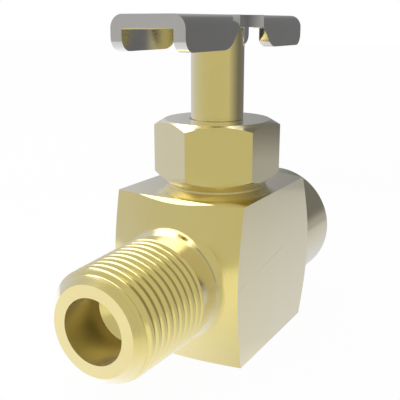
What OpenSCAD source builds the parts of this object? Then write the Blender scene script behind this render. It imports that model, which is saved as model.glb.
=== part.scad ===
// Bar-stock shut-off valve: male pipe thread in, female pipe thread out, screwed bonnet, stamped T-handle.
// Millimetres, +Z up along the stem. X follows the ports: male inlet at -X, female outlet at +X.
// The origin is where the stem's axis meets the block's flat base. The valve is drawn shut.

/* [Block] */
// Width of the square bar across the ports
body_w = 22.7; // [22.2:0.1:26]
// Height of the block, from its base to the flat top
body_h = 26; // [25.4:0.1:30]
// Height of the port axis above the base
port_h = 12.6; // [11:0.1:14]
// From the stem axis to the crown of the turned front face
front_crown = 17.2; // [16.6:0.1:19]
// Slope of the turned front face, in degrees
front_slope = 15; // [10:1:20]
// From the stem axis to the crown of the turned back face
back_crown = 21; // [20:0.1:23]
// Slope of the turned back face, in degrees
back_slope = 30; // [24:1:34]
// How far down the front face the break on its top edge reaches
edge_break = 0.6; // [0.2:0.05:1.2]

/* [Male inlet] */
// From the stem axis to the inlet's end face
inlet_reach = 34.3; // [33:0.1:40]
// Diameter of the shank at the root of its pipe thread
inlet_root_d = 14.8; // [14.2:0.1:15.4]
// Diameter of the flat ring on the inlet's end, inside its 45 degree chamfer
inlet_face_d = 13.3; // [12:0.1:14]
// Length of the threaded stretch, with its end chamfer
inlet_thread_l = 14.8; // [12:0.1:15]
// Diameter of the plain neck behind the thread
neck_d = 17.1; // [16:0.1:17.6]
// Radius of the fillet between the neck and the front face
neck_fillet = 1.5; // [0.8:0.1:1.8]
// Diameter of the counterbore in the inlet's end
inlet_bore_d = 9.6; // [8:0.1:11]
// Depth of the counterbore in the inlet's end
inlet_bore_l = 8.4; // [6:0.1:12]
// Diameter of the drilling from the counterbore to the seat
inlet_way_d = 5; // [4:0.1:5.1]

/* [Female outlet] */
// From the stem axis to the outlet's end face
outlet_reach = 26.3; // [25.5:0.1:30]
// Outside diameter of the outlet's boss
boss_d = 22.1; // [21:0.1:22.2]
// Chamfer on the boss's outer rim
boss_chamfer = 0.2; // [0.1:0.1:0.8]
// Diameter of the outlet's hole at the root of its pipe thread
outlet_hole_d = 17.1; // [16.4:0.1:17.4]
// Depth of the outlet's hole
outlet_hole_l = 14; // [12:0.1:14.4]
// Chamfer in the outlet's mouth
outlet_chamfer = 0.8; // [0.4:0.1:1.2]
// Diameter of the slanted drilling from the chamber to the outlet
outlet_way_d = 4.4; // [3.6:0.1:4.6]

/* [Seat and chamber] */
// Height of the seat's face above the port axis
seat_h = 4.6; // [4.3:0.1:5.2]
// Height of the raised seat above the chamber's floor
seat_rise = 1; // [0.5:0.1:1.2]
// Width of the seat's face
seat_land = 0.7; // [0.4:0.1:1]
// Diameter of the orifice through the seat
orifice_d = 5.4; // [5.2:0.1:5.8]
// Diameter of the chamber round the seat
chamber_d = 12.4; // [11.6:0.1:12.8]

/* [Bonnet] */
// Width across the bonnet's flats
hex_af = 18.2; // [17:0.1:20]
// From the block's top to the bonnet's top face
hex_top = 10.9; // [10.6:0.1:14]
// Height of the round collar under the hexagon
collar_h = 0.15; // [0.1:0.05:0.6]
// Diameter of the collar
collar_d = 16.3; // [15.8:0.1:17]
// Diameter at the top of the steep cone that rises from the collar
foot_d = 17.8; // [17:0.1:18]
// Slope of that cone, in degrees
foot_slope = 52; // [45:1:60]
// Slope of the hexagon's chamfers, in degrees
hex_chamfer = 30; // [20:1:35]
// Diameter of the flat inside the hexagon's top chamfer
hex_flat_d = 17.5; // [16:0.1:18]
// Outside diameter of the bonnet's thread
bonnet_thread_d = 14; // [13.6:0.1:14.4]
// Length of the bonnet's thread
bonnet_thread_l = 4.6; // [4:0.1:5]
// Height of the bonnet seal's neck under the collar
seal_neck_h = 1.4; // [1.3:0.1:1.6]
// Diameter of that neck
seal_neck_d = 12.3; // [12:0.1:12.6]
// Thickness of the bonnet's seal ring
bonnet_ring_t = 1.25; // [1.1:0.05:1.3]
// Radial play between the bonnet's thread and the body
thread_play = 0.05; // [0.02:0.01:0.1]

/* [Stem] */
// Diameter of the plain stem
stem_d = 8.68; // [8.2:0.02:8.8]
// Outside diameter of the stem's thread
stem_thread_d = 10; // [9.6:0.1:10.4]
// Length of the stem's thread
stem_thread_l = 5; // [4:0.1:5.4]
// Advance of the stem in one turn
stem_pitch = 1; // [0.75:0.05:1.1]
// Turns from shut to fully open
stem_turns = 3.5; // [2:0.25:3.5]
// Radial running play of the stem in the bonnet
running_play = 0.05; // [0.03:0.01:0.1]
// Radial play round each seal ring
seal_play = 0.02; // [0.01:0.01:0.04]
// Thickness of the stem's seal ring
stem_ring_t = 1.7; // [1.5:0.05:1.75]
// Thickness of each back-up ring
backup_t = 0.9; // [0.7:0.05:0.95]
// End play of the three rings in their gland
gland_play = 0.1; // [0.05:0.05:0.3]
// Thickness of the bonnet's lip above the gland
gland_lip = 2.1; // [1.5:0.1:2.4]
// From the stem thread's lower end to the shut disc's face
thread_drop = 4.5; // [4.3:0.1:5]

/* [Soft disc] */
// Diameter of the disc holder
holder_d = 8.8; // [8.6:0.1:9]
// Diameter of the soft disc
disc_d = 7; // [6.8:0.1:7.2]
// Thickness of the soft disc
disc_t = 1.6; // [1.3:0.1:1.8]
// How far the disc stands out of its holder
disc_proud = 0.4; // [0.2:0.05:0.6]
// Thickness of the holder's web between the disc and the stem's button
holder_web = 0.8; // [0.7:0.05:1.1]
// Diameter of the stem's button
button_d = 4.8; // [4.4:0.1:5]
// Thickness of the stem's button
button_t = 0.9; // [0.7:0.05:0.95]
// Diameter of the shank above the button
shank_d = 3; // [2.6:0.1:3.2]
// Thickness of the split ring that keeps the button
split_ring_t = 0.6; // [0.4:0.05:0.6]
// Outside diameter of the split ring
split_ring_d = 6.2; // [5.9:0.1:6.4]
// Gap in the split ring, in degrees
split_gap = 30; // [15:5:60]
// Play between the button, its ring and the holder
swivel_play = 0.05; // [0.03:0.01:0.06]
// Diameter of the disc screw's head
screw_head_d = 3; // [2.4:0.1:3.4]
// Height of the disc screw's head
screw_head_t = 0.7; // [0.5:0.05:1]
// Diameter of the disc screw's shank
screw_d = 1.6; // [1.2:0.1:2]
// Diameter of the disc's washer
washer_d = 4; // [3.6:0.1:4.2]
// Thickness of the disc's washer
washer_t = 0.3; // [0.2:0.05:0.5]

/* [Handle] */
// From the stem axis to each end of the handle
handle_reach = 20.15; // [17:0.05:26]
// Width over the handle's flanges
handle_w = 12.3; // [12:0.1:14]
// Height of the handle's flanges, with the plate
handle_h = 5.1; // [4.6:0.1:7]
// Thickness of the handle's sheet steel
sheet_t = 1.9; // [1.2:0.1:2.2]
// Outer radius of the sheet's bends
bend_r = 2; // [1.2:0.1:2.2]
// Inner radius of the sheet's bends
bend_inner_r = 0.3; // [0.2:0.1:0.8]
// From the bonnet's top to the underside of the handle's plate
handle_rise = 14.65; // [12:0.05:20]
// Rounding of each flange's outer lower corner
flange_r = 1.9; // [0.8:0.1:2]
// Rounding of each flange's inner lower corner
flange_inner_r = 4.2; // [2:0.1:4.4]
// From the stem axis to where each lobe's bends and flanges start
flange_start = 4.3; // [4:0.1:6]
// Slope of the flanges' inner ends, in degrees from the plate
flange_slope = 46; // [42:1:60]
// Width of the web between the lobes, at its narrowest
neck_w = 9.2; // [8.9:0.1:10.5]
// Length of the neck, along the handle
neck_l = 8.4; // [7:0.1:8.4]
// Diameter of the relief that clears the stem between the flanges
relief_d = 15.6; // [15.2:0.1:16.4]
// Across flats of the square on the stem's end
square_af = 6; // [5.2:0.1:6]
// Play between the square and the handle's hole
square_play = 0.05; // [0.03:0.01:0.1]
// Width of the punch mark that stakes the stem's end
stake_d = 2.4; // [1.6:0.1:3]

/* [Hidden] */
$fn = 96;
// Cutters run past the face that they open by this much
over = 1;
brass = "#C9B458";
steel = "#8D8A86";
ptfe = "#ECEAE2";
rubber = "#2B2B2D";

// The block and its two turned faces
front_run = tan(front_slope);
back_run = tan(back_slope);
top_rise = body_h - port_h;
turn_r = norm([body_w / 2, max(port_h, top_rise)]) + over;
break_x = -front_crown + (top_rise - edge_break) * front_run;

// The inlet's neck and the fillet behind it
root_r = inlet_root_d / 2;
neck_r = neck_d / 2;
thread_end_x = -inlet_reach + inlet_thread_l;
fillet_r = neck_r + neck_fillet;
fillet_x = -front_crown + fillet_r * front_run - neck_fillet / cos(front_slope);
touch_r = fillet_r - neck_fillet * sin(front_slope);
touch_x = fillet_x + neck_fillet * cos(front_slope);

// Heights up the stem axis, with the valve shut
seat_z = port_h + seat_h;
floor_z = seat_z - seat_rise;
thread_z = seat_z + thread_drop;
lift = stem_pitch * stem_turns;
hex_z = body_h + collar_h;
top_z = body_h + hex_top;
neck_z = body_h - seal_neck_h;
bonnet_z = neck_z - bonnet_thread_l;
gland_h = stem_ring_t + 2 * backup_t + gland_play;
gland_z = top_z - gland_lip - gland_h;
stem_stop_z = thread_z + stem_thread_l + lift + 2 * running_play;
plate_z = top_z + handle_rise;
handle_z = plate_z + sheet_t;
flange_z = handle_z - handle_h;

// Bores and the pieces that run in them
counterbore_d = seal_neck_d + 2 * bonnet_ring_t + 4 * seal_play;
guide_d = stem_thread_d + 2 * running_play;
rod_bore_d = stem_d + 2 * running_play;
gland_d = rod_bore_d + 2 * stem_ring_t + 2 * seal_play;
holder_z = seat_z + disc_proud;
web_z = seat_z + disc_t;
button_z = web_z + holder_web + swivel_play;
ring_z = button_z + button_t + swivel_play;
holder_h = thread_z - 2 * swivel_play - holder_z;
screw_end_z = web_z + holder_web / 2;

// A profile of [x, radius] points turned about the port axis
module port_turn(profile) {
    translate([0, 0, port_h]) rotate([0, 90, 0]) rotate_extrude() polygon([for (p = profile) [p[1], p[0]]]);
}

// A ring about the stem axis
module ring(z, h, outer_d, inner_d) {
    translate([0, 0, z]) difference() {
        cylinder(d = outer_d, h = h);
        translate([0, 0, -over]) cylinder(d = inner_d, h = h + 2 * over);
    }
}

// What rounding takes off a corner: the straight sides touch the arc at from and to
module round_off(from, to, centre, r) {
    away = (from + to) / 2 - centre;
    difference() {
        polygon([from, centre + away * (r / norm(away) + over), to, centre]);
        translate(centre) circle(r = r);
    }
}

// The whole of the outside in one turning: inlet shank at its thread's root, end chamfer, neck, front cone,
// back cone and outlet boss. The fillet behind the neck is tangent to the neck and to the front cone
module port_turning() {
    face_r = inlet_face_d / 2;
    boss_r = boss_d / 2;
    end_x = -inlet_reach;
    translate([0, 0, port_h]) rotate([0, 90, 0]) rotate_extrude() difference() {
        polygon([[0, end_x], [face_r, end_x], [root_r, end_x + root_r - face_r],
                 [root_r, thread_end_x - neck_r + root_r], [neck_r, thread_end_x], [neck_r, fillet_x],
                 [touch_r, touch_x], [turn_r, -front_crown + turn_r * front_run],
                 [turn_r, back_crown - turn_r * back_run], [boss_r, back_crown - boss_r * back_run],
                 [boss_r, outlet_reach - boss_chamfer], [boss_r - boss_chamfer, outlet_reach],
                 [0, outlet_reach]]);
        translate([fillet_r, fillet_x]) circle(r = neck_fillet);
    }
}

// The square bar that the turning is cut from
module square_bar() {
    translate([-inlet_reach - over, -body_w / 2, 0]) cube([inlet_reach + outlet_reach + 2 * over, body_w, body_h]);
}

// The flat 45 degree break along the top edge of the front face, widest at the crown
module front_break() {
    translate([break_x, 0, body_h - edge_break]) rotate([0, -45, 0])
        translate([-2 * edge_break, -body_w, 0]) cube([4 * edge_break, 2 * body_w, 2 * edge_break]);
}

// Counterbore, drilling to the seat and the orifice up through it
module inlet_way() {
    bore_x = -inlet_reach + inlet_bore_l;
    bore_r = inlet_bore_d / 2;
    way_r = inlet_way_d / 2;
    port_turn([[-inlet_reach - over, 0], [-inlet_reach - over, bore_r], [bore_x, bore_r], [bore_x, way_r],
               [way_r / 2, way_r], [way_r / 2, 0]]);
    translate([0, 0, port_h - way_r / 2]) cylinder(d = orifice_d, h = seat_h + way_r / 2 + over);
}

// The hole for the pipe, its mouth, and the slanted drilling up from it to the chamber
module outlet_way() {
    hole_x = outlet_reach - outlet_hole_l;
    hole_r = outlet_hole_d / 2;
    way_to = [chamber_d / 2 - over, seat_h + seat_rise / 2];
    way_slope = atan2(way_to[1], hole_x - way_to[0]);
    port_turn([[hole_x, 0], [hole_x, hole_r], [outlet_reach - outlet_chamfer, hole_r],
               [outlet_reach + over, hole_r + outlet_chamfer + over], [outlet_reach + over, 0]]);
    translate([way_to[0], 0, port_h + way_to[1]]) rotate([0, 90 + way_slope, 0])
        cylinder(d = outlet_way_d, h = norm([hole_x - way_to[0], way_to[1]]) + outlet_way_d / 2);
}

// The stepped hole that takes the bonnet, down to the raised seat
module bonnet_hole() {
    difference() {
        translate([0, 0, floor_z]) cylinder(d = chamber_d, h = body_h - floor_z + over);
        translate([0, 0, floor_z - over]) cylinder(d = orifice_d + 2 * seat_land, h = seat_rise + over);
    }
    translate([0, 0, bonnet_z - over / 2]) cylinder(d = bonnet_thread_d + 2 * thread_play, h = body_h);
    translate([0, 0, neck_z]) cylinder(d = counterbore_d, h = seal_neck_h + over);
}

module valve_body() {
    color(brass) difference() {
        intersection() {
            square_bar();
            port_turning();
        }
        front_break();
        inlet_way();
        outlet_way();
        bonnet_hole();
    }
}

// Hexagon with both ends turned to a cone, and a steeper cone under it. Its corners lie along the port axis
module hexagon() {
    fall = tan(hex_chamfer);
    flat_r = hex_flat_d / 2;
    foot_r = foot_d / 2;
    foot_z = hex_z + (foot_d - collar_d) / 2 * tan(foot_slope);
    clear_r = hex_af / sqrt(3) + over;
    intersection() {
        translate([0, 0, hex_z]) cylinder(r = hex_af / sqrt(3), h = top_z - hex_z, $fn = 6);
        rotate_extrude() polygon([[0, hex_z], [collar_d / 2, hex_z], [foot_r, foot_z],
                                  [clear_r, foot_z + (clear_r - foot_r) * fall],
                                  [clear_r, top_z - (clear_r - flat_r) * fall], [flat_r, top_z], [0, top_z]]);
    }
}

// Hexagon, collar, seal neck and thread in one turned piece, bored for the stem and its seals
module bonnet() {
    thread_r = bonnet_thread_d / 2;
    lead = thread_r - seal_neck_d / 2;
    mouth = 4 * running_play;
    color(brass) difference() {
        union() {
            hexagon();
            translate([0, 0, body_h]) cylinder(d = collar_d, h = collar_h + over / 2);
            translate([0, 0, neck_z]) cylinder(d = seal_neck_d, h = seal_neck_h);
            rotate_extrude() polygon([[0, bonnet_z], [thread_r - lead, bonnet_z], [thread_r, bonnet_z + lead],
                                      [thread_r, neck_z], [0, neck_z]]);
        }
        translate([0, 0, bonnet_z - over]) cylinder(d = guide_d, h = stem_stop_z - bonnet_z + over);
        translate([0, 0, bonnet_z]) cylinder(d = rod_bore_d, h = top_z - bonnet_z + over);
        translate([0, 0, gland_z]) cylinder(d = gland_d, h = gland_h);
        translate([0, 0, top_z - mouth])
            cylinder(r1 = rod_bore_d / 2, r2 = rod_bore_d / 2 + mouth + over, h = mouth + over);
    }
}

// Rubber ring on the floor of the body's counterbore, round the bonnet's neck
module bonnet_o_ring() {
    color(rubber) translate([0, 0, neck_z + bonnet_ring_t / 2])
        rotate_extrude() translate([(seal_neck_d + counterbore_d) / 4, 0]) circle(d = bonnet_ring_t);
}

// Rubber ring on the lower back-up ring, round the stem
module stem_o_ring() {
    color(rubber) translate([0, 0, gland_z + backup_t + stem_ring_t / 2])
        rotate_extrude() translate([(rod_bore_d + gland_d) / 4, 0]) circle(d = stem_ring_t);
}

module lower_backup_ring() {
    color(ptfe) ring(gland_z, backup_t, gland_d, rod_bore_d);
}

module upper_backup_ring() {
    color(ptfe) ring(gland_z + gland_h - backup_t, backup_t, gland_d, rod_bore_d);
}

// Button and shank, thread, plain rod, and the staked square that carries the handle
module stem() {
    lead = 0.4;
    button_r = button_d / 2;
    thread_r = stem_thread_d / 2;
    thread_top_z = thread_z + stem_thread_l;
    color(brass) difference() {
        union() {
            rotate_extrude() polygon([[0, button_z], [button_r, button_z], [button_r, button_z + button_t],
                [shank_d / 2, button_z + button_t], [shank_d / 2, thread_z], [thread_r - lead, thread_z],
                [thread_r, thread_z + lead], [thread_r, thread_top_z], [stem_d / 2, thread_top_z],
                [stem_d / 2, plate_z], [0, plate_z]]);
            translate([-square_af / 2, -square_af / 2, plate_z - over])
                cube([square_af, square_af, sheet_t + over]);
        }
        translate([0, 0, handle_z - stake_d / 4]) cylinder(r1 = 0, r2 = stake_d, h = stake_d / 2);
    }
}

// Cup for the disc below, and for the stem's button and its split ring above
module disc_holder() {
    color(brass) difference() {
        translate([0, 0, holder_z]) cylinder(d = holder_d, h = holder_h);
        translate([0, 0, holder_z - over]) cylinder(d = disc_d + 2 * swivel_play, h = web_z - holder_z + over);
        translate([0, 0, web_z - over]) cylinder(d = screw_d, h = screw_end_z - web_z + over);
        translate([0, 0, web_z + holder_web]) cylinder(d = button_d + 4 * swivel_play, h = holder_h);
        translate([0, 0, ring_z - swivel_play])
            cylinder(d = split_ring_d + 2 * swivel_play, h = split_ring_t + 2 * swivel_play);
    }
}

module seat_disc() {
    color(ptfe) ring(seat_z, disc_t, disc_d, screw_d);
}

module disc_washer() {
    color(brass) ring(seat_z - washer_t, washer_t, washer_d, screw_d);
}

// Slotted screw, up through the washer and the disc into the holder's web
module disc_screw() {
    head_z = seat_z - washer_t - screw_head_t;
    slot_w = screw_head_d / 5;
    color(brass) difference() {
        union() {
            translate([0, 0, head_z]) cylinder(d = screw_head_d, h = screw_head_t);
            translate([0, 0, head_z]) cylinder(d = screw_d, h = screw_end_z - head_z);
        }
        translate([-screw_head_d, -slot_w / 2, head_z - over])
            cube([2 * screw_head_d, slot_w, screw_head_t / 2 + over]);
    }
}

// Split ring in the holder's groove, over the stem's button
module swivel_ring() {
    inner_r = shank_d / 2 + 2 * swivel_play;
    color(steel) translate([0, 0, ring_z]) rotate([0, 0, split_gap / 2])
        rotate_extrude(angle = 360 - split_gap)
            translate([inner_r, 0]) square([split_ring_d / 2 - inner_r, split_ring_t]);
}

// Cross-section of a lobe: an inverted U of sheet steel
module handle_section() {
    inner_w = handle_w - 2 * sheet_t;
    depth = handle_h - sheet_t;
    outer = [handle_w / 2 - bend_r, handle_h - bend_r];
    inner = [inner_w / 2 - bend_inner_r, depth - bend_inner_r];
    difference() {
        translate([-handle_w / 2, 0]) square([handle_w, handle_h]);
        difference() {
            translate([-inner_w / 2, -over]) square([inner_w, depth + over]);
            for (side = [0, 1]) mirror([side, 0])
                round_off(inner + [bend_inner_r, 0], inner + [0, bend_inner_r], inner, bend_inner_r);
        }
        for (side = [0, 1]) mirror([side, 0])
            round_off(outer + [bend_r, 0], outer + [0, bend_r], outer, bend_r);
    }
}

// Side view of the handle: the plate, and a flange under each end with its sloping start
module handle_side() {
    depth = handle_h - sheet_t;
    tip = [handle_reach - flange_r, flange_r];
    toe_x = flange_start + depth / tan(flange_slope);
    tangent = flange_inner_r * tan(flange_slope / 2);
    heel = [toe_x + tangent, flange_inner_r];
    translate([-handle_reach, depth]) square([2 * handle_reach, sheet_t]);
    for (side = [0, 1]) mirror([side, 0]) difference() {
        polygon([[flange_start, depth], [toe_x, 0], [handle_reach, 0], [handle_reach, depth]]);
        round_off(tip + [flange_r, 0], tip - [0, flange_r], tip, flange_r);
        round_off([toe_x - tangent * cos(flange_slope), tangent * sin(flange_slope)],
                  heel - [0, flange_inner_r], heel, flange_inner_r);
    }
}

// What clears the stem between the flanges, cut in flat strips. It stops at half the height of the inner bends
module stem_relief() {
    translate([0, 0, flange_z - over]) hull() cylinder(d = relief_d, h = handle_h - sheet_t - bend_inner_r / 2 + over);
}

// Stamped handle: a channel trimmed to its side view, with a flat web between its two lobes. The web is necked in
// plan and pierced for the square
module t_handle() {
    neck_cut = (handle_w - neck_w) / 2;
    neck_cut_r = (neck_l * neck_l / 4 + neck_cut * neck_cut) / (2 * neck_cut);
    hole = square_af + 2 * square_play;
    color(steel) difference() {
        union() {
            difference() {
                intersection() {
                    translate([-handle_reach, 0, flange_z]) rotate([90, 0, 90])
                        linear_extrude(height = 2 * handle_reach) handle_section();
                    translate([0, handle_w, flange_z]) rotate([90, 0, 0])
                        linear_extrude(height = 2 * handle_w) handle_side();
                }
                stem_relief();
            }
            translate([-flange_start, -handle_w / 2, plate_z]) cube([2 * flange_start, handle_w, sheet_t]);
        }
        for (side = [-1, 1])
            translate([0, side * (neck_w / 2 + neck_cut_r), flange_z]) cylinder(r = neck_cut_r, h = 2 * handle_h);
        translate([-hole / 2, -hole / 2, flange_z]) cube([hole, hole, 2 * handle_h]);
    }
}

valve_body();
bonnet();
bonnet_o_ring();
stem();
stem_o_ring();
upper_backup_ring();
lower_backup_ring();
disc_holder();
seat_disc();
disc_washer();
disc_screw();
swivel_ring();
t_handle();
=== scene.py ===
import math

import bmesh
import bpy
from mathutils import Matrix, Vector


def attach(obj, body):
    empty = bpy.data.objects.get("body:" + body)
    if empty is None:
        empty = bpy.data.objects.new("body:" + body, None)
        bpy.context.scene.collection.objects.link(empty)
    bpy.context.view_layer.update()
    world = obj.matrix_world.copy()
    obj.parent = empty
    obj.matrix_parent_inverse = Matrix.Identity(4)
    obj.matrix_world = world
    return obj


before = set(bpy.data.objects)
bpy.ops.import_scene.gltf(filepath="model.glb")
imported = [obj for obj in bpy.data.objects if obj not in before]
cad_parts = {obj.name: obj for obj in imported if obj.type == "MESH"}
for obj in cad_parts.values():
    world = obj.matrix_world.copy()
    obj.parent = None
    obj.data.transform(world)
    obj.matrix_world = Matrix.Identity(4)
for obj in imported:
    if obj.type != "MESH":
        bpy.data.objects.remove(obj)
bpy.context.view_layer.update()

scene = bpy.context.scene
MM = 0.001

# The camera stands close in front of the male inlet, a little to its side and above it. It looks down by
# about 15 degrees and along the ports by about 30. The lens is close to 60 mm on a 36 mm frame. Upright
# edges converge, as they do in the photograph.
DOWN, ASIDE = 14.98, 29.973
camera_data = bpy.data.cameras.new("camera")
camera_data.lens = 59.9
camera_data.sensor_width = 36
camera_data.clip_start = 0.005
camera_data.clip_end = 10
camera = bpy.data.objects.new("camera", camera_data)
scene.collection.objects.link(camera)
camera.location = (-97.05 * MM, -52.67 * MM, 52.36 * MM)
camera.rotation_euler = (math.radians(90 - DOWN), 0, math.radians(ASIDE - 90))
scene.camera = camera


# Valve body: free-machining brass, cut from square bar. Both ports are turned, so the front face and the
# back face are shallow cones with round tool lines. The bar's own drawn skin is left on the four long
# sides, paler and with straight lines.
PORT_Z = 12.6 * MM


def linear(code):
    """An sRGB hex colour as the linear colour that a shader takes."""
    parts = [int(code[i:i + 2], 16) / 255 for i in (1, 3, 5)]
    return tuple(c / 12.92 if c <= 0.04045 else ((c + 0.055) / 1.055) ** 2.4 for c in parts) + (1,)


WHITE = linear("#FFFFFF")


def add(material, kind, inputs=(), **settings):
    """One node with its settings. An input is a value, or an output socket that it is linked from."""
    node = material.node_tree.nodes.new(kind)
    for name, value in settings.items():
        setattr(node, name, value)
    for name, value in dict(inputs).items():
        if isinstance(value, bpy.types.NodeSocket):
            material.node_tree.links.new(value, node.inputs[name])
        else:
            node.inputs[name].default_value = value
    return node


def new_material(name):
    """A material with an empty node tree."""
    material = bpy.data.materials.new(name)
    material.use_nodes = True
    material.node_tree.nodes.clear()
    return material


def compute(material, operation, *values):
    """The result of one operation on numbers or output sockets."""
    return add(material, "ShaderNodeMath", dict(enumerate(values)), operation=operation).outputs["Value"]


def rescale(material, value, source, target=(0.0, 1.0)):
    """A value carried from one range to another, and held at both ends."""
    return add(material, "ShaderNodeMapRange", {
        "Value": value, "From Min": source[0], "From Max": source[1],
        "To Min": target[0], "To Max": target[1]}).outputs["Result"]


def noise(material, place, size, detail, rough=0.5):
    """Soft noise from 0 to 1, whose largest clouds have the size."""
    return add(material, "ShaderNodeTexNoise", {
        "Vector": place, "Scale": 1 / size, "Detail": detail, "Roughness": rough}).outputs["Fac"]


def distance_along(material, place, direction):
    """How far a place lies along a direction from the origin."""
    return add(material, "ShaderNodeVectorMath", {0: place, 1: direction},
               operation="DOT_PRODUCT").outputs["Value"]


def tool_rings(material, along, outward, spacing):
    """Height of turned tool lines, from a place along the work's axis and its distance from that axis."""
    turned = add(material, "ShaderNodeCombineXYZ", {"X": along, "Y": outward}).outputs["Vector"]
    return noise(material, turned, spacing * MM, 3.0, 0.6)


def drawn_lines(material, place, axis, spacing):
    """Height of the straight lines that a die or a roll leaves along one axis, each 60 spacings long."""
    stretch = [1 / (spacing * MM)] * 3
    stretch["XYZ".index(axis)] = 1 / (60 * spacing * MM)
    pulled = add(material, "ShaderNodeMapping", {"Vector": place, "Scale": stretch}).outputs["Vector"]
    return noise(material, pulled, 1.0, 3.0)


def from_axis(material, across, up, up_centre):
    """Distance from an axis, from the two coordinates across it."""
    rise = compute(material, "SUBTRACT", up, up_centre)
    both = add(material, "ShaderNodeCombineXYZ", {"X": across, "Y": rise}).outputs["Vector"]
    return add(material, "ShaderNodeVectorMath", {0: both}, operation="LENGTH").outputs["Value"]


def beyond(material, value, centre, reach):
    """1 where the value is further than the reach from the centre, else 0."""
    off = compute(material, "SUBTRACT", value, centre)
    size = compute(material, "ABSOLUTE", off)
    return compute(material, "GREATER_THAN", size, reach)


def scores(material, place):
    """1 on a few straight thin scores, which rise a little along X and soon break off, else 0."""
    slope, spacing, run = 0.13, 7 * MM, 9 * MM
    level, half_width, broken, whole = 0.52, 0.01, 0.45, 0.65
    across = distance_along(material, place, (-slope, 0, 1))
    side = add(material, "ShaderNodeSeparateXYZ", {0: place}).outputs["Y"]
    strip = add(material, "ShaderNodeCombineXYZ", {"X": across, "Y": side}).outputs["Vector"]
    off = compute(material, "SUBTRACT", noise(material, strip, spacing, 0.0), level)
    near = compute(material, "ABSOLUTE", off)
    line = rescale(material, near, (0.0, half_width), (1.0, 0.0))
    part = rescale(material, noise(material, place, run, 2.0), (broken, whole))
    return compute(material, "MULTIPLY", line, part)


def mix_value(material, share, first, second):
    """The first number, with a share of the second."""
    return add(material, "ShaderNodeMix", {"Factor": share, "A": first, "B": second}).outputs["Result"]


def mix_tint(material, share, first, second):
    """The first colour, with a share of the second."""
    return add(material, "ShaderNodeMix", {"Factor": share, "A": first, "B": second},
               data_type="RGBA").outputs["Result"]


def tarnish(material, place, size, dark, light):
    """Two tints of one metal in soft clouds, whose size is in millimetres."""
    return mix_tint(material, noise(material, place, size * MM, 4.0, 0.6), linear(dark), linear(light))


def metal_skin(material, tint, lines, rough, depth):
    """Metal with its tint, tool lines in its gloss and relief, and a gloss that turns white at a glance."""
    polished, scored, tool_mark, film_rise = 0.8, 1.2, 0.01 * MM, 1.5
    noise_span = (0.3, 0.7)
    low = compute(material, "MULTIPLY", rough, polished)
    high = compute(material, "MULTIPLY", rough, scored)
    shine = rescale(material, lines, noise_span, (low, high))
    relief = add(material, "ShaderNodeBump", {"Height": lines, "Strength": depth,
                                              "Distance": tool_mark}).outputs["Normal"]
    glance = add(material, "ShaderNodeLayerWeight", {"Blend": 0.5}).outputs["Facing"]
    film = compute(material, "POWER", glance, film_rise)
    gloss = mix_tint(material, film, tint, WHITE)
    skin = add(material, "ShaderNodeBsdfPrincipled", {
        "Base Color": gloss, "Metallic": 1.0, "Roughness": shine, "Normal": relief}).outputs["BSDF"]
    add(material, "ShaderNodeOutputMaterial", {"Surface": skin})


def dress(node, material):
    """Gives a carried-over CAD piece its finish."""
    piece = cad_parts[node]
    piece.data.materials.clear()
    piece.data.materials.append(material)


# Free-machining brass, part turned and part as drawn: lemon gold with fine rings on the cones, ports and
# bores, and faint straight lines on the bar's four flats, with a few thin scores on its sides. The bores
# are satin. A flat is what lies past a reach that is 0.03 mm short of it, and the bores lie within a reach
# of the port axis.
SIDE_REACH = 11.32 * MM
BAR_MIDDLE, TOP_REACH = 13 * MM, 12.97 * MM
BORE_REACH = 4.85 * MM
TURNED_ROUGH, DRAWN_ROUGH, BORE_ROUGH = 0.16, 0.12, 0.4
SCORE_SHARE = 0.6
bar_brass = new_material("turned_and_drawn_bar_brass")
place = add(bar_brass, "ShaderNodeTexCoord").outputs["Object"]
x, y, z = add(bar_brass, "ShaderNodeSeparateXYZ", {0: place}).outputs
on_side = beyond(bar_brass, y, 0.0, SIDE_REACH)
on_top = beyond(bar_brass, z, BAR_MIDDLE, TOP_REACH)
on_flat = compute(bar_brass, "MAXIMUM", on_side, on_top)
off_axis = from_axis(bar_brass, y, z, PORT_Z)
outside = beyond(bar_brass, off_axis, 0.0, BORE_REACH)
rings = tool_rings(bar_brass, x, off_axis, 0.3)
lines = drawn_lines(bar_brass, place, "X", 0.25)
scored = scores(bar_brass, place)
cut = compute(bar_brass, "MULTIPLY", scored, on_side)
height = mix_value(bar_brass, on_flat, rings, lines)
rough = rescale(bar_brass, on_flat, (0.0, 1.0), (TURNED_ROUGH, DRAWN_ROUGH))
rough = mix_value(bar_brass, outside, BORE_ROUGH, rough)
base_tint = tarnish(bar_brass, place, 8, "#E0CE7D", "#E8D88C")
marked = compute(bar_brass, "MULTIPLY", cut, SCORE_SHARE)
metal_skin(bar_brass, mix_tint(bar_brass, marked, base_tint, linear("#8A7B45")), height, rough, 0.08)
dress("valve_body", bar_brass)

# Male pipe thread: 3/8-18 NPT, cut with a die over the body's shank. Its turns are 1.411 mm apart, the
# crests grow by 1 mm in 32 along the taper, and the chamfer on the shank's end cuts through the first turn.
PITCH = 25.4 / 18 * MM
TAPER = 1 / 32
MALE_CREST, MALE_ROOT = 8.44 * MM, 7.7 * MM
ROUND_STEPS = 96


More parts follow.
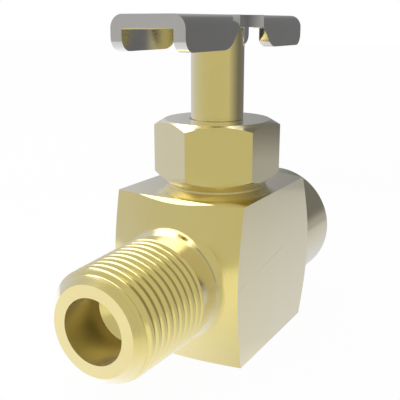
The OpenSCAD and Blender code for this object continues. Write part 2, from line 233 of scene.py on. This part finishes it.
def thread_ribbon(mesh, crest, root, start, turns, steps):
    """Adds the helical face of a thread about the port axis: one turn of its ridge is swept, then repeated.
    The crown is a parabola over 0.44 of the pitch and falls by 0.26 of the ridge. The root is a flat."""
    crown_half, crown_fall, root_half = 0.22, 0.26, 0.04
    crown = [((0.5 + crown_half * u) * PITCH, crest + crown_fall * (root - crest) * u * u)
             for u in (-1, -0.67, -0.33, 0, 0.33, 0.67, 1)]
    ridge = [(0, root), (root_half * PITCH, root)] + crown + [((1 - root_half) * PITCH, root), (PITCH, root)]
    verts = [mesh.verts.new((start + x, 0, r)) for x, r in ridge]
    edges = [mesh.edges.new(pair) for pair in zip(verts, verts[1:])]
    bmesh.ops.subdivide_edges(mesh, edges=[edges[1], edges[-2]], cuts=3)
    bmesh.ops.spin(mesh, geom=mesh.verts[:] + mesh.edges[:], cent=(0, 0, 0), axis=(1, 0, 0),
                   dvec=(PITCH / steps, 0, 0), angle=2 * math.pi, steps=steps, use_duplicate=False)
    turn = mesh.verts[:] + mesh.edges[:] + mesh.faces[:]
    for lead in range(1, turns):
        more = bmesh.ops.duplicate(mesh, geom=turn)["geom"]
        bmesh.ops.translate(mesh, verts=[g for g in more if isinstance(g, bmesh.types.BMVert)],
                            vec=(lead * PITCH, 0, 0))
    bmesh.ops.remove_doubles(mesh, verts=mesh.verts, dist=0.002 * MM)


def radius(vert):
    """Distance of a point of a mesh from the X axis, on which the ports are turned."""
    return math.hypot(vert.co.y, vert.co.z)


def set_radius(vert, wanted):
    """Moves a point of a mesh straight out from the X axis, or in."""
    now = radius(vert)
    vert.co.y *= wanted / now
    vert.co.z *= wanted / now


def cut_off(mesh, x, side):
    """Cuts the mesh square across the port axis and drops what lies on that side of the cut."""
    bmesh.ops.bisect_plane(mesh, geom=mesh.verts[:] + mesh.edges[:] + mesh.faces[:], dist=0.0001 * MM,
                           plane_co=(x, 0, 0), plane_no=(side, 0, 0), clear_outer=True)


def close_sleeve(mesh, wall):
    """Turns both open ends in to a plain wall, which closes the sleeve, and faces it outwards."""
    rims = [e for e in mesh.edges if e.is_boundary]
    made = bmesh.ops.extrude_edge_only(mesh, edges=rims)["geom"]
    for vert in [g for g in made if isinstance(g, bmesh.types.BMVert)]:
        set_radius(vert, wall)
    bmesh.ops.bridge_loops(mesh, edges=[e for e in mesh.edges if e.is_boundary])
    bmesh.ops.recalc_face_normals(mesh, faces=mesh.faces)
    if mesh.calc_volume(signed=True) < 0:
        bmesh.ops.reverse_faces(mesh, faces=mesh.faces)


def place_mesh(mesh, name, material):
    """An object at the origin from a finished mesh, with its material."""
    data = bpy.data.meshes.new(name)
    mesh.to_mesh(data)
    mesh.free()
    made = bpy.data.objects.new(name, data)
    made.data.materials.append(material)
    scene.collection.objects.link(made)
    return made


def finish_piece(mesh, name, body, material, angle=35):
    """Makes the mesh a piece of the object, smooth up to an angle, and lets it ride on its CAD body."""
    for face in mesh.faces:
        face.smooth = True
    for edge in mesh.edges:
        edge.smooth = edge.calc_face_angle(math.pi) < math.radians(angle)
    piece = place_mesh(mesh, name, material)
    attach(piece, body)


# The crest has its named size 2.8 mm from the shank's end. The end's 45 degree chamfer starts at the face's
# rim, and at the neck the ridges run out on a slope. The sleeve's wall lies 0.2 mm and more inside the
# shank.
end_x, neck_x = -34.3 * MM, -19.5 * MM
end_rim, neck_crest, run_out = 6.65 * MM, 8.55 * MM, 0.8
male_gauge, male_wall, male_turns = 2.8 * MM, 7.2 * MM, 13
male = bmesh.new()
thread_ribbon(male, MALE_CREST, MALE_ROOT, end_x - 1.2 * PITCH, male_turns, ROUND_STEPS)
cut_off(male, end_x + 0.55 * MM, -1)
cut_off(male, neck_x + 0.1 * MM, 1)
for vert in male.verts:
    along = vert.co.x - end_x
    grown = radius(vert) + (along - male_gauge) * TAPER
    set_radius(vert, min(grown, end_rim + along - 0.02 * MM, neck_crest + (neck_x - vert.co.x) * run_out))
close_sleeve(male, male_wall)
bmesh.ops.translate(male, verts=male.verts, vec=(0, 0, PORT_Z))

# Die-cut brass: brighter than the turned faces, with fine lines that follow the thread round, and painted
# shade, a dark brown, in the roots of the thread. The shade's levels are taken without the taper, and it
# starts past the chamfer.
ROOT_SHADE_FULL, ROOT_SHADE_NONE, ROOT_SHADE_SHARE = 8.86 * MM, 9.02 * MM, 0.55
ROOT_SHADE_START, ROOT_SHADE_ALL = -32.8 * MM, -31.6 * MM
die_brass = new_material("die_cut_brass")
place = add(die_brass, "ShaderNodeTexCoord").outputs["Object"]
x, y, z = add(die_brass, "ShaderNodeSeparateXYZ", {0: place}).outputs
off_axis = from_axis(die_brass, y, z, PORT_Z)
rings = tool_rings(die_brass, x, off_axis, 0.15)
growth = compute(die_brass, "MULTIPLY", x, TAPER)
level = compute(die_brass, "SUBTRACT", off_axis, growth)
# Painted shade: the roots of the thread are darkened to a dark brown, where the flanks shade them.
root_shade = rescale(die_brass, level, (ROOT_SHADE_FULL, ROOT_SHADE_NONE), (ROOT_SHADE_SHARE, 0.0))
past_chamfer = rescale(die_brass, x, (ROOT_SHADE_START, ROOT_SHADE_ALL))
root_shade = compute(die_brass, "MULTIPLY", root_shade, past_chamfer)
base_tint = tarnish(die_brass, place, 4, "#E3D27F", "#EADA8C")
metal_skin(die_brass, mix_tint(die_brass, root_shade, base_tint, linear("#5E4A1C")), rings, 0.19, 0.05)
finish_piece(male, "inlet_thread", "valve", die_brass)

# Female pipe thread: the same thread tapped into the outlet's boss, with its ridges turned inward and
# tapering towards the bottom of the hole. The chamfer in the mouth cuts its first turn.
FEMALE_CREST, FEMALE_ROOT = 7.5 * MM, 8.5 * MM
mouth_x, bottom_x = 26.3 * MM, 13.4 * MM
mouth_rim, bottom_crest, run_in = 9.35 * MM, 8.3 * MM, 0.9
female_wall, female_turns = 8.7 * MM, 11
female = bmesh.new()
thread_ribbon(female, FEMALE_CREST, FEMALE_ROOT, bottom_x - 0.5 * MM, female_turns, ROUND_STEPS)
cut_off(female, bottom_x, -1)
cut_off(female, mouth_x - 0.85 * MM, 1)
for vert in female.verts:
    depth = mouth_x - vert.co.x
    grown = radius(vert) - depth * TAPER
    set_radius(vert, max(grown, mouth_rim - depth, bottom_crest + (bottom_x - vert.co.x) * run_in))
close_sleeve(female, female_wall)
bmesh.ops.translate(female, verts=female.verts, vec=(0, 0, PORT_Z))

# Tapped brass: the same cut surface without the painted shade in its roots, as bright as the tool leaves it.
tapped_brass = new_material("tapped_brass")
place = add(tapped_brass, "ShaderNodeTexCoord").outputs["Object"]
x, y, z = add(tapped_brass, "ShaderNodeSeparateXYZ", {0: place}).outputs
rings = tool_rings(tapped_brass, x, from_axis(tapped_brass, y, z, PORT_Z), 0.15)
metal_skin(tapped_brass, tarnish(tapped_brass, place, 4, "#E3D27F", "#EADA8C"), rings, 0.2, 0.05)
finish_piece(female, "outlet_thread", "valve", tapped_brass)

# Cone at the bottom of the inlet's counterbore, part of the body, which the point of the cutter leaves
# round the drilling. It is cut bright, and sits in the corner between the counterbore's wall and its floor.
floor_x, cone_height = -25.9 * MM, 0.9 * MM
wall, cone_mouth = 4.82 * MM, 2.9 * MM
cone = bmesh.new()
corner = [cone.verts.new(spot) for spot in ((floor_x - cone_height, 0, wall), (floor_x, 0, cone_mouth),
                                            (floor_x + 0.02 * MM, 0, wall))]
for pair in zip(corner, corner[1:] + corner[:1]):
    cone.edges.new(pair)
bmesh.ops.spin(cone, geom=cone.verts[:] + cone.edges[:], cent=(0, 0, 0), axis=(1, 0, 0), dvec=(0, 0, 0),
               angle=2 * math.pi, steps=ROUND_STEPS, use_merge=True, use_duplicate=False)
bmesh.ops.recalc_face_normals(cone, faces=cone.faces)
bmesh.ops.translate(cone, verts=cone.verts, vec=(0, 0, PORT_Z))
finish_piece(cone, "counterbore_cone", "valve", tapped_brass, 8)

# Bonnet: one piece of hexagonal brass bar, turned at both ends and screwed into the block on a round
# collar. The six flats keep the bar's drawn skin, and the cones, the top and the collar have round tool
# lines.

# Hexagonal bar brass: lemon gold, glossy on the flats, which lie between two heights. The foot under them
# is satin, with a paler tint that is painted light. The gland's lip is painted dark, a painted shade for the
# thin gap between it and the stem.
FLATS_MIDDLE, FLATS_REACH = 31.9 * MM, 4.6 * MM
FOOT_TOP, SHADED_LIP_REACH = 27.15 * MM, 4.82 * MM
FLAT_ROUGH, CONE_ROUGH, FOOT_ROUGH = 0.1, 0.2, 0.45
hexagon_brass = new_material("hexagon_bar_brass")
place = add(hexagon_brass, "ShaderNodeTexCoord").outputs["Object"]
x, y, z = add(hexagon_brass, "ShaderNodeSeparateXYZ", {0: place}).outputs
off_flat = beyond(hexagon_brass, z, FLATS_MIDDLE, FLATS_REACH)
off_axis = from_axis(hexagon_brass, x, y, 0.0)
rings = tool_rings(hexagon_brass, z, off_axis, 0.25)
lines = drawn_lines(hexagon_brass, place, "Z", 0.25)
height = mix_value(hexagon_brass, off_flat, lines, rings)
rough = rescale(hexagon_brass, off_flat, (0.0, 1.0), (FLAT_ROUGH, CONE_ROUGH))
satin_foot_with_painted_light = compute(hexagon_brass, "LESS_THAN", z, FOOT_TOP)
rough = mix_value(hexagon_brass, satin_foot_with_painted_light, rough, FOOT_ROUGH)
# Painted shade: within the lip's reach the bonnet is painted dark round the stem.
past_lip_shade = beyond(hexagon_brass, off_axis, 0.0, SHADED_LIP_REACH)
base_tint = tarnish(hexagon_brass, place, 8, "#DFCD7D", "#E7D78B")
# Painted light: the foot's tint is paled towards cream, which brightens it.
base_tint = mix_tint(hexagon_brass, satin_foot_with_painted_light, base_tint, linear("#F2E6AE"))
metal_skin(hexagon_brass, mix_tint(hexagon_brass, past_lip_shade, linear("#2E2A20"), base_tint), height, rough, 0.04)
dress("bonnet", hexagon_brass)

# Stem: turned and polished brass rod. Its square end is staked flush in the handle.
rod_brass = new_material("polished_rod_brass")
place = add(rod_brass, "ShaderNodeTexCoord").outputs["Object"]
x, y, z = add(rod_brass, "ShaderNodeSeparateXYZ", {0: place}).outputs
rings = tool_rings(rod_brass, z, from_axis(rod_brass, x, y, 0.0), 0.2)
metal_skin(rod_brass, tarnish(rod_brass, place, 8, "#E0CE7D", "#E8D88C"), rings, 0.12, 0.03)
dress("stem", rod_brass)

# The pieces that hold the soft disc: small brass turnings, seen only when the valve is taken apart.
trim_brass = new_material("small_turned_brass")
place = add(trim_brass, "ShaderNodeTexCoord").outputs["Object"]
x, y, z = add(trim_brass, "ShaderNodeSeparateXYZ", {0: place}).outputs
rings = tool_rings(trim_brass, z, from_axis(trim_brass, x, y, 0.0), 0.15)
metal_skin(trim_brass, tarnish(trim_brass, place, 3, "#DDCB7A", "#E5D488"), rings, 0.25, 0.1)
for node in ("disc_holder", "disc_washer", "disc_screw"):
    dress(node, trim_brass)

# Handle: a blank stamped from 1.9 mm steel sheet, bent to a channel along each lobe and plated. Plated
# sheet is a satin silver grey, with faint rolling lines along the handle.
plated_sheet = new_material("plated_sheet_steel")
place = add(plated_sheet, "ShaderNodeTexCoord").outputs["Object"]
lines = drawn_lines(plated_sheet, place, "X", 0.2)
metal_skin(plated_sheet, tarnish(plated_sheet, place, 10, "#BCBAB6", "#C6C4C0"), lines, 0.14, 0.03)
dress("t_handle", plated_sheet)

# Split ring: spring steel wire rolled flat, which keeps the stem's button in the disc holder.
spring_steel = new_material("flat_spring_steel")
place = add(spring_steel, "ShaderNodeTexCoord").outputs["Object"]
lines = drawn_lines(spring_steel, place, "X", 0.2)
metal_skin(spring_steel, tarnish(spring_steel, place, 3, "#9B9B9D", "#ABABAD"), lines, 0.3, 0.05)
dress("swivel_ring", spring_steel)

# Seal rings: moulded nitrile rubber, black with a dull bloom.
nitrile = new_material("nitrile_rubber")
place = add(nitrile, "ShaderNodeTexCoord").outputs["Object"]
tone = mix_tint(nitrile, noise(nitrile, place, 1.5 * MM, 4.0), linear("#1C1C1D"), linear("#2B2B2C"))
rubber_skin = add(nitrile, "ShaderNodeBsdfPrincipled", {"Base Color": tone, "Roughness": 0.6, "IOR": 1.52})
add(nitrile, "ShaderNodeOutputMaterial", {"Surface": rubber_skin.outputs["BSDF"]})
for node in ("bonnet_o_ring", "stem_o_ring"):
    dress(node, nitrile)

# Soft disc and back-up rings: machined PTFE, a waxy white in soft clouds that lets a little light in.
ptfe = new_material("machined_ptfe")
place = add(ptfe, "ShaderNodeTexCoord").outputs["Object"]
tone = mix_tint(ptfe, noise(ptfe, place, 2 * MM, 3.0), linear("#E4E2DA"), linear("#F0EEE8"))
ptfe_skin = add(ptfe, "ShaderNodeBsdfPrincipled", {
    "Base Color": tone, "Roughness": 0.42, "IOR": 1.35, "Subsurface Weight": 0.1})
add(ptfe, "ShaderNodeOutputMaterial", {"Surface": ptfe_skin.outputs["BSDF"]})
for node in ("seat_disc", "upper_backup_ring", "lower_backup_ring"):
    dress(node, ptfe)

# Studio: a plain white floor, a ring of softly lit grey cloth round the set, darkest on the right, and one
# large soft lamp overhead. The camera looks through the cloth to a white room. Only the metal shows the
# cloth, and the shade that the cloth lays on the floor at the right.


def seen(material):
    """1 for what the camera, a reflection or a glass shows, 0 for light that falls on the object."""
    ray = add(material, "ShaderNodeLightPath").outputs
    shown = compute(material, "MAXIMUM", ray["Is Camera Ray"], ray["Is Glossy Ray"])
    return compute(material, "MAXIMUM", shown, ray["Is Transmission Ray"])


# Floor: matt white, shown as a plain white ground. Its share of paint keeps the object's shadow. In the
# metal it is shaded towards the right, first beside the valve and then far out.
WHITE_SHARE = 0.97
FLOOR_RIGHT = (0.5, -0.866, 0)
BESIDE_SPAN, BESIDE_LEVELS = (-8 * MM, 10 * MM), (1.06, 0.72)
AWAY_SPAN, AWAY_LEVELS = (10 * MM, 110 * MM), (1.0, 0.65)
FLOOR_HALF = 1.5
floor_paint = new_material("white_floor")
share = compute(floor_paint, "MULTIPLY", seen(floor_paint), WHITE_SHARE)
matt = add(floor_paint, "ShaderNodeBsdfDiffuse", {"Color": linear("#F2F2F2")}).outputs["BSDF"]
place = add(floor_paint, "ShaderNodeTexCoord").outputs["Object"]
to_right = distance_along(floor_paint, place, FLOOR_RIGHT)
beside = rescale(floor_paint, to_right, BESIDE_SPAN, BESIDE_LEVELS)
away = rescale(floor_paint, to_right, AWAY_SPAN, AWAY_LEVELS)
mirrored = compute(floor_paint, "MULTIPLY", beside, away)
ray = add(floor_paint, "ShaderNodeLightPath").outputs
level = mix_value(floor_paint, ray["Is Camera Ray"], mirrored, 1.0)
white = add(floor_paint, "ShaderNodeEmission", {"Color": WHITE, "Strength": level}).outputs["Emission"]
paint = add(floor_paint, "ShaderNodeMixShader", {0: share, 1: matt, 2: white}).outputs["Shader"]
add(floor_paint, "ShaderNodeOutputMaterial", {"Surface": paint})
floor_mesh = bmesh.new()
bmesh.ops.create_grid(floor_mesh, x_segments=1, y_segments=1, size=FLOOR_HALF)
place_mesh(floor_mesh, "floor", floor_paint)

# Cloth ring: evenly lit, and dark towards the right, most of all away from the floor. Its top is cut on a
# slope, lower at the left, so that the lamp shines over it.
RING_RADIUS, RING_HEIGHT, RING_CUT = 110 * MM, 260 * MM, 200 * MM
LIT_LEVEL = 0.66
CLOTH_RIGHT, TURN_SPAN = (0.906, -0.423, 0), (22 * MM, 100 * MM)
DARK_SPAN, DARK_LEVELS = (9 * MM, 20 * MM), (0.4, 0.18)
cloth = new_material("lit_grey_cloth")
place = add(cloth, "ShaderNodeTexCoord").outputs["Object"]
height = add(cloth, "ShaderNodeSeparateXYZ", {0: place}).outputs["Z"]
darkest = rescale(cloth, height, DARK_SPAN, DARK_LEVELS)
turn = rescale(cloth, distance_along(cloth, place, CLOTH_RIGHT), TURN_SPAN)
glow = mix_value(cloth, turn, LIT_LEVEL, darkest)
lit = add(cloth, "ShaderNodeEmission", {"Color": WHITE, "Strength": glow}).outputs["Emission"]
add(cloth, "ShaderNodeOutputMaterial", {"Surface": lit})
cloth_mesh = bmesh.new()
bmesh.ops.create_circle(cloth_mesh, cap_ends=False, segments=ROUND_STEPS, radius=RING_RADIUS)
rise = bmesh.ops.extrude_edge_only(cloth_mesh, edges=cloth_mesh.edges[:])["geom"]
bmesh.ops.translate(cloth_mesh, verts=[g for g in rise if isinstance(g, bmesh.types.BMVert)],
                    vec=(0, 0, RING_HEIGHT))
bmesh.ops.bisect_plane(cloth_mesh, geom=cloth_mesh.verts[:] + cloth_mesh.edges[:] + cloth_mesh.faces[:],
                       plane_co=(0, 0, RING_CUT), plane_no=(0, 1, 1), clear_outer=True)
cloth_ring = place_mesh(cloth_mesh, "cloth_ring", cloth)
cloth_ring.visible_camera = False

# Lamp: one round softbox, high above the valve and to its left, aimed at the hexagon.
lamp_data = bpy.data.lights.new("soft_lamp", "AREA")
lamp_data.shape = "DISK"
lamp_data.size = 260 * MM
lamp_data.energy = 0.29
lamp = bpy.data.objects.new("soft_lamp", lamp_data)
scene.collection.objects.link(lamp)
lamp.location = (-20 * MM, 60 * MM, 200 * MM)
lamp.rotation_euler = (Vector((0, 0, 30 * MM)) - lamp.location).to_track_quat("-Z", "Y").to_euler()
lamp.visible_camera = False

# Room: white where it is seen or mirrored, and a plain soft level as light.
ROOM_LIGHT = 0.7
world = bpy.data.worlds.new("studio")
scene.world = world
world.use_nodes = True
world.node_tree.nodes.clear()
room = add(world, "ShaderNodeBackground", {"Color": WHITE, "Strength": ROOM_LIGHT}).outputs["Background"]
white = add(world, "ShaderNodeBackground", {"Color": WHITE, "Strength": 1.0}).outputs["Background"]
shown = add(world, "ShaderNodeMixShader", {0: seen(world), 1: room, 2: white}).outputs["Shader"]
add(world, "ShaderNodeOutputWorld", {"Surface": shown})
scene.view_settings.view_transform = "Standard"
